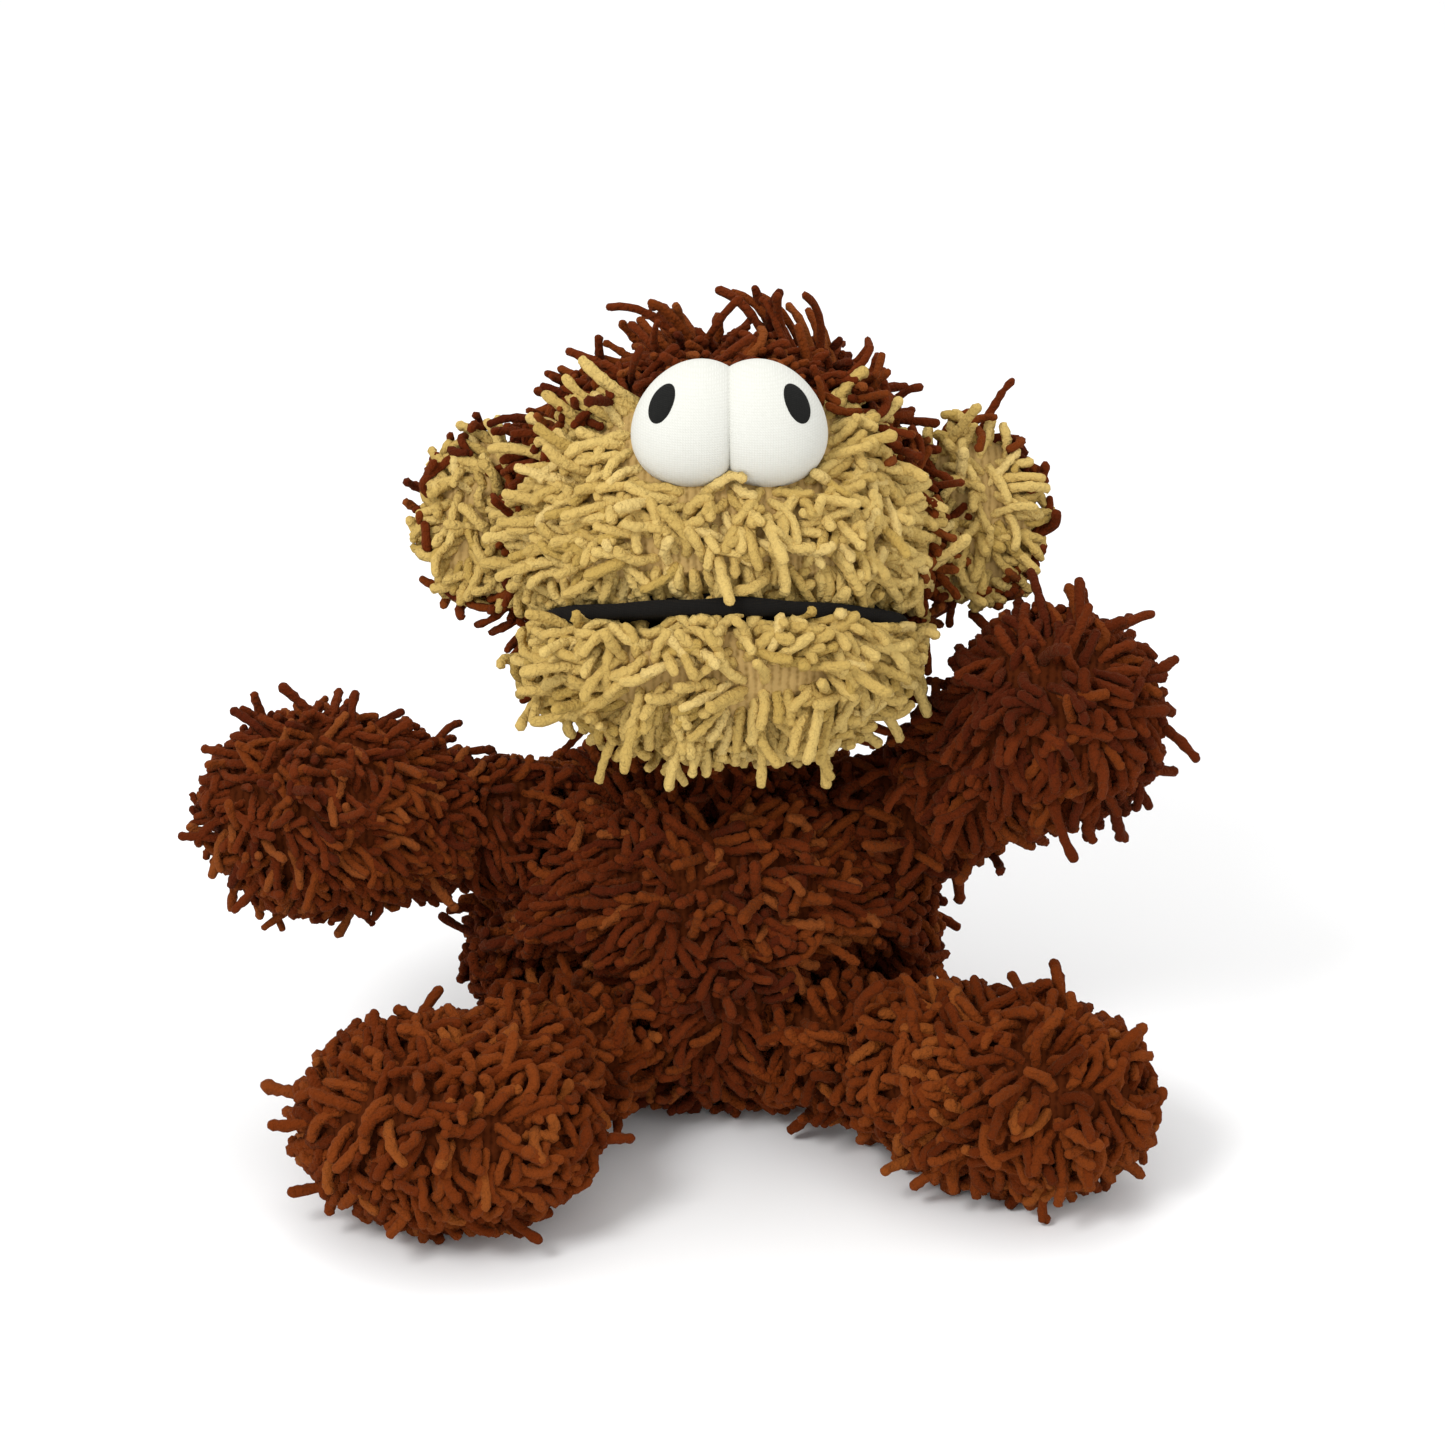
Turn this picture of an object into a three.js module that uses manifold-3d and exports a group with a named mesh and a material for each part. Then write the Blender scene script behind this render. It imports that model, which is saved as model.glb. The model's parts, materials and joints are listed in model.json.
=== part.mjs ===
// A sitting shaggy plush monkey: stuffed covers cut from looped-yarn cloth, joined by stuffed ball-shaped bends at the
// neck, shoulders and hips. Millimetres, +Z up, the face towards -Y, and the toy's own left towards +X.
// The origin is on the flattened seat, under the middle of the body.
import * as THREE from "three";
import { mergeVertices } from "three/addons/utils/BufferGeometryUtils.js";
import Module from "manifold-3d";

const wasm = await Module();
wasm.setup();

// Driving dimensions. A cover's outer surface is where its yarn pile is pressed flat.
const WALL = 5; // a cover with its pressed pile
const LAYER_GAP = 0.5; // between a cover and what it holds, and between two sewn panels
const BEND_RADIUS = 21; // the ball of stuffing at the neck, a shoulder or a hip
const BEND_CLEARANCE = 1.6; // between that ball and the parts that turn on it
const SEAT_DEPTH = 8; // how far behind a bend's centre the torso is flattened around it
const SEAT_RADIUS = 34; // the width of that flattened place
const FACETS = { around: 18, along: 10 }; // of a large round form
const SMALL_FACETS = { around: 12, along: 8 };
const FAR = 400; // larger than the toy, for the blocks that cut it

const TORSO = { centre: [-1, 0, 50], radii: [73, 55, 56], squareness: 2.5, seamX: 1.5, seatThickness: 2.5 };
const NECK = [4, 4, 107];
const HEAD = { centre: [5, 4, 172], radii: [64, 58, 62], squareness: 2.3, tiltDegrees: 31 };
// In the head's own frame: forward is -Y and up is +Z.
const FACE_EDGE = { lowY: 2, highY: -40, lowZ: -20, highZ: 46 }; // where the tan face meets the brown back
const MOUTH = { roofZ: -20, floorZ: -26.5, backY: 8, hingeY: 5, hingeZ: -23 };
const LINING = { thickness: 1.6, inset: 3, roofShare: 0.93 }; // roofShare: the lip's size next to the head's
const JAW = { centre: [0, -8, -24], radii: [62, 51, 42], squareness: 2.2, backLeanDegrees: 20 };
const EYES = { middleX: 2.2, spread: 10.7, y: -50, z: 29.5, radii: [18.7, 17, 18.5], wall: 1.6 };
const PUPIL = { halfWidth: 4.1, halfHeight: 6.2, thickness: 0.8, leanDegrees: 24, lookOut: 0.62, lookUp: 0.26 };
const EARS = {
  left: { x: 75, y: 6, z: 12, turnDegrees: 12 },
  right: { x: -69, y: 6, z: 10, turnDegrees: -12 },
  radii: [21, 8, 26],
  hingeX: 63,
  foldDegrees: 30,
  clearance: 1.2,
};
// A limb is a padded root that swells from its bend into an oval bulb. The bulb's radii are along its length, across
// it and up; yaw turns its length about Z, and rise lifts its far end.
const LIMBS = {
  arm_left: {
    bend: "shoulder_left",
    pivot: [60, -6, 88],
    bulb: { centre: [103, -21, 128], radii: [35, 35, 34], yaw: 0, rise: 0 },
  },
  arm_right: {
    bend: "shoulder_right",
    pivot: [-61, -6, 86],
    bulb: { centre: [-112, -20, 97], radii: [42, 33, 33], yaw: 5, rise: 4 },
  },
  leg_left: {
    bend: "hip_left",
    pivot: [38, -42, 30],
    bulb: { centre: [89, -69, 30], radii: [47, 34, 31], yaw: -18, rise: 0 },
  },
  leg_right: {
    bend: "hip_right",
    pivot: [-36, -44, 30],
    bulb: { centre: [-75, -88, 30], radii: [48, 38, 31], yaw: -12, rise: 0 },
  },
};
const LIMB_ROOT = { start: 8, hollowStart: 7, bevel: 3, radius: 24, endRadius: 29, endShare: 0.9 };

const BROWN = new THREE.MeshStandardMaterial({ color: 0x5a2609, roughness: 1, metalness: 0 });
const TAN = new THREE.MeshStandardMaterial({ color: 0xc2a05a, roughness: 1, metalness: 0 });
const BLACK = new THREE.MeshStandardMaterial({ color: 0x17130f, roughness: 0.9, metalness: 0 });
const WHITE = new THREE.MeshStandardMaterial({ color: 0xe9e8df, roughness: 0.85, metalness: 0 });
const FIBRE = new THREE.MeshStandardMaterial({ color: 0xf2f0ea, roughness: 1, metalness: 0 });

// A closed three.js geometry as a solid for cutting and joining, moved by matrix if one is given.
function solid(geometry, matrix) {
  const bare = geometry.index ? geometry.toNonIndexed() : geometry.clone();
  for (const name of Object.keys(bare.attributes)) if (name !== "position") bare.deleteAttribute(name);
  if (matrix) bare.applyMatrix4(matrix);
  const merged = mergeVertices(bare, 1e-3);
  return new wasm.Manifold(
    new wasm.Mesh({
      numProp: 3,
      vertProperties: merged.attributes.position.array,
      triVerts: new Uint32Array(merged.index.array),
    }),
  );
}

function mesh(name, cut, material) {
  const { vertProperties, triVerts } = cut.getMesh();
  const geometry = new THREE.BufferGeometry();
  geometry.setAttribute("position", new THREE.BufferAttribute(new Float32Array(vertProperties), 3));
  geometry.setIndex(new THREE.BufferAttribute(new Uint32Array(triVerts), 1));
  geometry.computeVertexNormals();
  const made = new THREE.Mesh(geometry, material);
  made.name = name;
  return made;
}

// A superellipsoid: squareness 2 is an ellipsoid, and more is boxier.
function blob({ centre = [0, 0, 0], radii, squareness = 2 }, grow = 0, facets = FACETS) {
  const geometry = new THREE.SphereGeometry(1, facets.around, facets.along).rotateX(Math.PI / 2);
  const at = geometry.attributes.position;
  const point = new THREE.Vector3();
  const size = new THREE.Vector3(...radii).addScalar(grow);
  for (let i = 0; i < at.count; i++) {
    point.fromBufferAttribute(at, i);
    const length = ["x", "y", "z"].reduce((sum, k) => sum + Math.abs(point[k]) ** squareness, 0);
    point.multiplyScalar(length ** (-1 / squareness)).multiply(size);
    at.setXYZ(i, point.x + centre[0], point.y + centre[1], point.z + centre[2]);
  }
  return geometry;
}

// A block from its lowest to its highest corner. A missing number means far away.
function block(low, high) {
  const from = new THREE.Vector3(...low.map((v) => v ?? -FAR));
  const to = new THREE.Vector3(...high.map((v) => v ?? FAR));
  const size = to.clone().sub(from);
  const middle = from.add(to).multiplyScalar(0.5);
  return new THREE.BoxGeometry(size.x, size.y, size.z).translate(middle.x, middle.y, middle.z);
}

// A block that reaches far forward (-Y) of a plane through point, the plane leaning by degrees about X.
function inFrontOf(point, degrees, shift = 0) {
  return block([null, null, null], [null, shift, null])
    .rotateX(THREE.MathUtils.degToRad(degrees))
    .translate(0, point[0], point[1]);
}

function frameOf(pivot, toward) {
  const along = new THREE.Vector3(...toward).sub(new THREE.Vector3(...pivot)).normalize();
  const side = new THREE.Vector3(0, 0, 1).cross(along).normalize();
  const up = along.clone().cross(side);
  return new THREE.Matrix4().makeBasis(along, side, up).setPosition(...pivot);
}

function group(matrix, ...children) {
  const made = new THREE.Group();
  matrix.decompose(made.position, made.quaternion, made.scale);
  return made.add(...children);
}

function ball(centre, radius) {
  return new THREE.SphereGeometry(radius, SMALL_FACETS.around, SMALL_FACETS.along)
    .rotateX(Math.PI / 2)
    .translate(...centre);
}

// The flat place around a bend: a round bar along the limb's +X from behind the pivot outwards.
function bendSeat(matrix) {
  const bar = new THREE.CylinderGeometry(SEAT_RADIUS, SEAT_RADIUS, FAR, SMALL_FACETS.around)
    .rotateZ(Math.PI / 2)
    .translate(FAR / 2 - SEAT_DEPTH, 0, 0);
  return solid(bar, matrix);
}

const bendFrames = Object.values(LIMBS).map(({ pivot, bulb }) => frameOf(pivot, bulb.centre));
const neckFrame = new THREE.Matrix4().makeRotationY(-Math.PI / 2).setPosition(...NECK);
const socketRadius = BEND_RADIUS + BEND_CLEARANCE;

function cutBends(body) {
  return [...bendFrames, neckFrame].reduce((left, matrix) => {
    const socket = solid(ball([0, 0, 0], socketRadius), matrix);
    return left.subtract(bendSeat(matrix)).subtract(socket);
  }, body);
}

function buildTorso() {
  const { seamX, seatThickness } = TORSO;
  const floor = solid(block([null, null, 0], [null, null, null]));
  const cover = solid(blob(TORSO)).intersect(floor);
  const inside = solid(block([null, null, seatThickness], [null, null, null]));
  const hollow = solid(blob(TORSO, -WALL)).intersect(inside);
  const shell = cutBends(cover.subtract(hollow));
  const above = solid(block([null, null, seatThickness + LAYER_GAP], [null, null, null]));
  const core = cutBends(solid(blob(TORSO, -WALL - LAYER_GAP)).intersect(above));
  const leftSide = solid(block([seamX + LAYER_GAP / 2, null, null], [null, null, null]));
  const rightSide = solid(block([null, null, null], [seamX - LAYER_GAP / 2, null, null]));
  return [
    mesh("torso_left_panel", shell.intersect(leftSide), BROWN),
    mesh("torso_right_panel", shell.intersect(rightSide), BROWN),
    mesh("torso_stuffing", core, FIBRE),
  ];
}

const headFrame = new THREE.Matrix4()
  .makeRotationX(THREE.MathUtils.degToRad(-HEAD.tiltDegrees))
  .setPosition(...HEAD.centre);
const HEAD_FORM = { radii: HEAD.radii, squareness: HEAD.squareness };

// What is cut out of the head's underside for the neck, in the head's own frame.
function cutNeck(body) {
  const toHead = headFrame.clone().invert().multiply(neckFrame);
  const down = new THREE.Matrix4().makeRotationY(Math.PI);
  const seat = bendSeat(toHead.clone().multiply(down));
  return body.subtract(seat).subtract(solid(ball([0, 0, 0], socketRadius), toHead));
}

// Everything of the head above the mouth and behind its hinge. Grow is negative for an inner layer.
function skull(grow) {
  const mouthSpace = block([null, null, null], [null, MOUTH.backY - grow, MOUTH.roofZ]);
  return cutNeck(solid(blob(HEAD_FORM, grow)).subtract(solid(mouthSpace)));
}

// The part of the head that the tan face covers: in front of a leaning plane and above the mouth.
function faceSide(shift) {
  const { lowY, highY, lowZ, highZ } = FACE_EDGE;
  const lean = THREE.MathUtils.radToDeg(Math.atan2(lowY - highY, highZ - lowZ));
  const aboveMouth = solid(block([null, null, MOUTH.roofZ - shift], [null, null, null]));
  return solid(inFrontOf([lowY, lowZ], lean, shift)).intersect(aboveMouth);
}

// A D-shaped sheet of lining with its straight edge at the hinge and its round edge along the lip.
function lining(radii, centreY, z) {
  const [across, forward] = radii;
  const back = MOUTH.hingeY;
  const shape = new THREE.Shape();
  const start = Math.asin(Math.min(1, (centreY - back) / forward));
  shape.absellipse(0, centreY, across, forward, Math.PI - start, 2 * Math.PI + start, false, 0);
  shape.closePath();
  return new THREE.ExtrudeGeometry(shape, {
    depth: LINING.thickness,
    bevelEnabled: false,
    curveSegments: SMALL_FACETS.around,
  }).translate(0, 0, z);
}

function buildEye(side, sign) {
  const centre = [EYES.middleX + sign * EYES.spread, EYES.y, EYES.z];
  const form = { centre, radii: EYES.radii };
  const own = sign > 0 ? [EYES.middleX + LAYER_GAP / 2, null] : [null, EYES.middleX - LAYER_GAP / 2];
  const half = solid(block([own[0], null, null], [own[1], null, null]));
  const inner = sign > 0 ? [own[0] + EYES.wall, null] : [null, own[1] - EYES.wall];
  const innerHalf = solid(block([inner[0], null, null], [inner[1], null, null]));
  const head = solid(blob(HEAD_FORM, LAYER_GAP));
  const ballOf = (grow) => solid(blob(form, grow, SMALL_FACETS));
  const cover = ballOf(0).intersect(half).subtract(ballOf(-EYES.wall).intersect(innerHalf)).subtract(head);
  const fill = ballOf(-EYES.wall - LAYER_GAP).intersect(innerHalf).subtract(head);
  // The pupil is a thin oval patch on the upper outer part of the eye.
  const look = new THREE.Vector3(sign * PUPIL.lookOut, -1, PUPIL.lookUp).normalize();
  const patch = new THREE.CylinderGeometry(1, 1, FAR, SMALL_FACETS.around)
    .translate(0, FAR / 2, 0)
    .scale(PUPIL.halfWidth, 1, PUPIL.halfHeight)
    .rotateY(THREE.MathUtils.degToRad(-sign * PUPIL.leanDegrees));
  const turn = new THREE.Quaternion().setFromUnitVectors(new THREE.Vector3(0, 1, 0), look);
  const place = new THREE.Matrix4().compose(new THREE.Vector3(...centre), turn, new THREE.Vector3(1, 1, 1));
  const pupil = ballOf(PUPIL.thickness + LAYER_GAP)
    .subtract(ballOf(LAYER_GAP))
    .intersect(solid(patch, place));
  return [
    mesh(`eye_${side}_cover`, cover, WHITE),
    mesh(`eye_${side}_stuffing`, fill, FIBRE),
    mesh(`eye_${side}_pupil`, pupil, BLACK),
  ];
}

function buildEar(side) {
  const { x, y, z, turnDegrees } = EARS[side];
  const sign = Math.sign(x);
  const hinge = new THREE.Vector3(sign * EARS.hingeX, y, z);
  const turn = THREE.MathUtils.degToRad(turnDegrees);
  const frame = new THREE.Matrix4().makeRotationZ(turn).setPosition(hinge);
  const toEar = frame.clone().invert();
  const pad = { centre: [x - hinge.x, 0, 0], radii: EARS.radii };
  let ear = solid(blob(pad, 0, SMALL_FACETS));
  const head = blob(HEAD_FORM, EARS.clearance);
  for (const step of [-1, -0.5, 0, 0.5, 1]) {
    const fold = new THREE.Matrix4().makeRotationZ(THREE.MathUtils.degToRad(step * EARS.foldDegrees));
    ear = ear.subtract(solid(head, fold.multiply(toEar)));
  }
  const front = solid(block([null, null, null], [null, -LAYER_GAP / 2, null]));
  const back = solid(block([null, LAYER_GAP / 2, null], [null, null, null]));
  return group(
    frame,
    mesh(`ear_${side}_front`, ear.intersect(front), TAN),
    mesh(`ear_${side}_back`, ear.intersect(back), BROWN),
  );
}

function buildJaw() {
  const below = solid(block([null, null, null], [null, null, MOUTH.floorZ]));
  const lean = inFrontOf([MOUTH.hingeY, MOUTH.hingeZ], -JAW.backLeanDegrees);
  const innerLean = inFrontOf([MOUTH.hingeY, MOUTH.hingeZ], -JAW.backLeanDegrees, -WALL);
  const fillLean = inFrontOf([MOUTH.hingeY, MOUTH.hingeZ], -JAW.backLeanDegrees, -WALL - LAYER_GAP);
  const hollow = solid(blob(JAW, -WALL)).intersect(solid(innerLean));
  const shell = solid(blob(JAW)).intersect(solid(lean)).intersect(below).subtract(hollow);
  const fill = solid(blob(JAW, -WALL - LAYER_GAP)).intersect(solid(fillLean)).intersect(below);
  const { inset } = LINING;
  const sheet = lining([JAW.radii[0] - inset, JAW.radii[1] - inset], JAW.centre[1], MOUTH.floorZ + LAYER_GAP);
  return [
    mesh("jaw_panel", shell, TAN),
    mesh("jaw_stuffing", fill, FIBRE),
    mesh("mouth_lining_lower", solid(sheet), BLACK),
  ];
}

function buildHead() {
  const shell = skull(0).subtract(skullHollow());
  const face = shell.intersect(faceSide(-LAYER_GAP / 2));
  const back = shell.subtract(faceSide(LAYER_GAP / 2));
  const { thickness, inset, roofShare } = LINING;
  const [width, depth] = HEAD.radii.map((radius) => radius * roofShare - inset);
  const roof = lining([width, depth], 0, MOUTH.roofZ - LAYER_GAP - thickness);
  return [
    mesh("face_panel", face, TAN),
    mesh("head_back_panel", back, BROWN),
    mesh("head_stuffing", skull(-WALL - LAYER_GAP), FIBRE),
    mesh("mouth_lining_upper", solid(roof), BLACK),
  ];
}

// The room inside the head's covers: open downwards where the mouth's lining and the neck close it.
function skullHollow() {
  const wallBehindMouth = block([null, null, null], [null, MOUTH.backY + WALL, MOUTH.roofZ]);
  return solid(blob(HEAD_FORM, -WALL)).subtract(solid(wallBehindMouth));
}

// The bulb joined to a tapered root that starts at the bend. It is made in the limb's own frame.
function limbForm({ pivot, bulb }, toLimb, grow, start) {
  const reach = new THREE.Vector3(...pivot).distanceTo(new THREE.Vector3(...bulb.centre));
  const { bevel, radius, endRadius, endShare } = LIMB_ROOT;
  const end = reach * endShare;
  const corners = [
    [0, start],
    [radius + grow - bevel, start],
    [radius + grow, start + bevel],
    [endRadius + grow, end],
    [0, end],
  ];
  const root = new THREE.LatheGeometry(
    corners.map(([across, along]) => new THREE.Vector2(across, along)),
    SMALL_FACETS.around,
  ).rotateZ(-Math.PI / 2);
  const turn = new THREE.Euler(0, THREE.MathUtils.degToRad(bulb.rise), THREE.MathUtils.degToRad(bulb.yaw), "ZYX");
  const place = toLimb.clone().multiply(new THREE.Matrix4().makeRotationFromEuler(turn).setPosition(...bulb.centre));
  return solid(root).add(solid(blob({ radii: bulb.radii }, grow, SMALL_FACETS), place));
}

function buildLimb(name, limb, panels) {
  const frame = frameOf(limb.pivot, limb.bulb.centre);
  const toLimb = frame.clone().invert();
  const ground = (height) => solid(block([null, null, height], [null, null, null]), toLimb);
  const socket = solid(ball([0, 0, 0], socketRadius));
  const form = (grow, start) => limbForm(limb, toLimb, grow, start);
  const hollow = form(-WALL, LIMB_ROOT.hollowStart).intersect(ground(TORSO.seatThickness));
  const shell = form(0, LIMB_ROOT.start).intersect(ground(0)).subtract(hollow).subtract(socket);
  const core = form(-WALL - LAYER_GAP, LIMB_ROOT.start)
    .intersect(ground(TORSO.seatThickness + LAYER_GAP))
    .subtract(socket);
  const [upper, lower] = panels;
  const above = solid(block([null, null, LAYER_GAP / 2], [null, null, null]));
  const below = solid(block([null, null, null], [null, null, -LAYER_GAP / 2]));
  return group(
    frame,
    mesh(`${name}_${upper}_panel`, shell.intersect(above), BROWN),
    mesh(`${name}_${lower}_panel`, shell.intersect(below), BROWN),
    mesh(`${name}_stuffing`, core, FIBRE),
    mesh(`${limb.bend}_stuffing`, solid(ball([0, 0, 0], BEND_RADIUS)), FIBRE),
  );
}

const toy = new THREE.Group();
toy.add(...buildTorso());
toy.add(group(neckFrame, mesh("neck_stuffing", solid(ball([0, 0, 0], BEND_RADIUS)), FIBRE)));
toy.add(
  group(
    headFrame,
    ...buildHead(),
    ...buildEye("left", 1),
    ...buildEye("right", -1),
    buildEar("left"),
    buildEar("right"),
    ...buildJaw(),
  ),
);
for (const [name, limb] of Object.entries(LIMBS)) {
  toy.add(buildLimb(name, limb, name.startsWith("arm") ? ["upper", "lower"] : ["top", "sole"]));
}

export default toy;
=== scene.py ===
"""A sitting shaggy plush monkey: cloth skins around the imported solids, and yarn that grows from them."""

import json
import math

import bmesh
import bpy
import numpy as np
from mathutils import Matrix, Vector
from mathutils.bvhtree import BVHTree


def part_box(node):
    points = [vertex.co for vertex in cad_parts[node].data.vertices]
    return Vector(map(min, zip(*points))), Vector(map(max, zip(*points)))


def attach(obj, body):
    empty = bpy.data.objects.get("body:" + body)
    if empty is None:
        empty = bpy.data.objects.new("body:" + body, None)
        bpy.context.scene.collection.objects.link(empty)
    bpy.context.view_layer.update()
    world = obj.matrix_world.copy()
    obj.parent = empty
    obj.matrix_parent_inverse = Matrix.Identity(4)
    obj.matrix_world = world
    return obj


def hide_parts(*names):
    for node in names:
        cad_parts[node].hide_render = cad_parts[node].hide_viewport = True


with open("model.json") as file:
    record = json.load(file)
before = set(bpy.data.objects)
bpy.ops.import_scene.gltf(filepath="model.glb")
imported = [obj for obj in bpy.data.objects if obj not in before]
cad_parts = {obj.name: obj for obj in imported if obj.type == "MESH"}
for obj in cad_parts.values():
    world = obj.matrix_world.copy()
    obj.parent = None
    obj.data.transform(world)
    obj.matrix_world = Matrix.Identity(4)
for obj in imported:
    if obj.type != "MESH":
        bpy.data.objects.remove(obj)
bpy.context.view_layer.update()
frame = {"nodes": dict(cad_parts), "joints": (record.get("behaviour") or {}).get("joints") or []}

MM = 0.001
SEED = 7

# The camera and the light.
CAMERA_ELEVATION = math.radians(25)
CAMERA_DISTANCE = 1.3
SENSOR_WIDTH = 36
VIEW_WIDTH = 0.4335
AIM = Vector((0.00525, 0, 0.117))
LIGHTS = {
    "key": {"place": (-0.75, -0.9, 1.25), "size": 0.6, "power": 14},
    "fill": {"place": (0.9, -0.9, 0.6), "size": 0.9, "power": 2},
    "top": {"place": (0.0, 0.4, 1.4), "size": 0.9, "power": 4},
}
FLOOR_REACH = 3
FLOOR_GREY = (0.86, 0.86, 0.86)

# The head's own frame: its centre, and the way up that its ears fold about.
HEAD_CENTRE = Vector((5, 4, 172)) * MM
JOINTS = {joint["name"]: joint for joint in frame["joints"]}
HEAD_UP = Vector(JOINTS["ear_right_fold"]["axis"]).normalized()
HEAD_RIGHT = Vector((1, 0, 0))
HEAD_BACK = HEAD_UP.cross(HEAD_RIGHT)
TO_HEAD = np.array([HEAD_RIGHT, HEAD_BACK, HEAD_UP])

# The yarn: how far the skin lies under the solid's surface, and how a strand is drawn.
SKIN_INSET = 4.6 * MM
SIDES = 6
RINGS = 12
SINK = 1.5 * MM
FLOOR_GAP = 0.4 * MM
ROOT_TRIES = 9
TOUSLE_WAVE = 34 * MM
SHADE_WAVE = 60 * MM

# How single strands differ: the longer strays, the raised tips and the rate at which a strand turns down.
SHORTEST, LONGEST = 0.5, 1.5
STRAY_LENGTH = 1.3
STRAY_HEIGHT = 13 * MM
STRAY_GRIP = 0.10
GRIP = (0.22, 0.38)
RAISED_SHARE = 0.4
RAISED_TIP = 4.5 * MM
LEAN_VARIES = (0.6, 1.3)
LEAST_LEAN = 0.4
SETTLE_DEPTH = 3 * MM
SETTLES_BY = 1.8
TIP_LIFTS_FROM = 0.5
WIGGLE = 5
SHARPEST_TURN = 0.4
TONE_DRIFT = 0.5

# The surface of a strand: its lumps, its fuzz and its rounded tip.
THICKNESS_VARIES = (0.88, 1.1)
LUMPS = 0.09
THINNEST, THICKEST = 0.8, 1.2
FUZZ = 0.07
TIP_RINGS = ((0.55, 0.86), (0.9, 0.52))
TIP_REACH = 1.04
ROOT_REACH = 0.3

# The stuffing of a skin by cloth simulation. SWELL_GUESS is the share of its room that it takes up.
PRESSURE = 20.0
SWELL_FRAMES = 14
SWELL_ROOM = 2.5 * MM
SWELL_GUESS = 0.2
SEAM_HOLD = 6 * MM
LEAST_HOLD = 0.02
SIMULATION_VOXEL = 4 * MM
SMOOTHING = 0.5
LAST_ROUNDS = 4


# ---------------------------------------------------------------- materials

# How fine each surface is (noise and wave scales), and how deep its bumps are.
KNOTS, FIBRES, FIBRE_SHARE, YARN_BUMP = 620, 1300, 0.45, 1.6 * MM
STITCH_ROWS, STITCHES, KNIT_BUMP = 130.0, 620.0, 0.4 * MM
NAP, CLOTH_BUMP = 900, 0.25 * MM


def new_material(name, colour, roughness, sheen=0.0, sheen_tint=(1, 1, 1), specular=0.3):
    material = bpy.data.materials.new(name)
    material.use_nodes = True
    shader = material.node_tree.nodes["Principled BSDF"]
    shader.inputs["Base Color"].default_value = (*colour, 1)
    shader.inputs["Roughness"].default_value = roughness
    shader.inputs["Sheen Weight"].default_value = sheen
    shader.inputs["Sheen Roughness"].default_value = 0.4
    shader.inputs["Sheen Tint"].default_value = (*sheen_tint, 1)
    shader.inputs["Specular IOR Level"].default_value = specular
    return material, shader


def node(material, kind, **values):
    made = material.node_tree.nodes.new(kind)
    for key, value in values.items():
        if key in made.inputs:
            made.inputs[key].default_value = value
        else:
            setattr(made, key, value)
    return made


def link(material, source, target):
    material.node_tree.links.new(source, target)


def object_noise(material, scale, detail=2.0, roughness=0.6):
    place = node(material, "ShaderNodeTexCoord")
    noise = node(material, "ShaderNodeTexNoise", Scale=scale, Detail=detail, Roughness=roughness)
    link(material, place.outputs["Object"], noise.inputs["Vector"])
    return noise


def combined(material, operation, first, second):
    made = node(material, "ShaderNodeMath", operation=operation)
    link(material, first, made.inputs[0])
    link(material, second, made.inputs[1])
    return made.outputs[0]


def colour_with_hollow_shade(material, shader, height, low, high):
    # Painted shade: the colour runs from low where the height is least to high where it is most, so the
    # hollows of the stitches and the weave are painted darker.
    ramp = node(material, "ShaderNodeValToRGB")
    ramp.color_ramp.elements[0].color = (*low, 1)
    ramp.color_ramp.elements[1].color = (*high, 1)
    link(material, height, ramp.inputs["Fac"])
    link(material, ramp.outputs["Color"], shader.inputs["Base Color"])


def add_bump(material, shader, height, strength, distance):
    bump = node(material, "ShaderNodeBump", Strength=strength, Distance=distance)
    link(material, height, bump.inputs["Height"])
    link(material, bump.outputs["Normal"], shader.inputs["Normal"])


def yarn_material(name, colour, tint):
    """Fuzzy chenille yarn: a little velvet sheen over knots of pile and finer fibres."""
    material, shader = new_material(name, colour, 0.97, sheen=0.07, sheen_tint=tint, specular=0.04)
    knots = object_noise(material, KNOTS, 1.0)
    fibres = object_noise(material, FIBRES, 3.0, 0.7)
    finer = node(material, "ShaderNodeMath", operation="MULTIPLY")
    finer.inputs[1].default_value = FIBRE_SHARE
    link(material, fibres.outputs["Fac"], finer.inputs[0])
    height = combined(material, "ADD", knots.outputs["Fac"], finer.outputs[0])
    add_bump(material, shader, height, 1.0, YARN_BUMP)
    rough = node(material, "ShaderNodeMapRange")
    rough.inputs["To Min"].default_value = 1.0
    rough.inputs["To Max"].default_value = 0.85
    link(material, knots.outputs["Fac"], rough.inputs["Value"])
    link(material, rough.outputs["Result"], shader.inputs["Roughness"])
    return material


def shades(name, colours, tint):
    return [yarn_material(f"{name}_{i}", colour, tint) for i, colour in enumerate(colours)]


def knit_material(name, low, high):
    """The backing cloth between the rows of yarn: rows of small stitches."""
    material, shader = new_material(name, low, 1.0, specular=0.02)
    place = node(material, "ShaderNodeTexCoord")
    rows = node(material, "ShaderNodeTexWave", Scale=STITCH_ROWS, Distortion=2.0, Detail=1.0)
    link(material, place.outputs["Object"], rows.inputs["Vector"])
    cells = node(material, "ShaderNodeTexVoronoi", Scale=STITCHES)
    link(material, place.outputs["Object"], cells.inputs["Vector"])
    height = combined(material, "ADD", rows.outputs["Fac"], cells.outputs["Distance"])
    # Painted shade: the hollows between the stitches are darker in colour.
    colour_with_hollow_shade(material, shader, height, low, high)
    add_bump(material, shader, height, 0.6, KNIT_BUMP)
    return material


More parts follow.
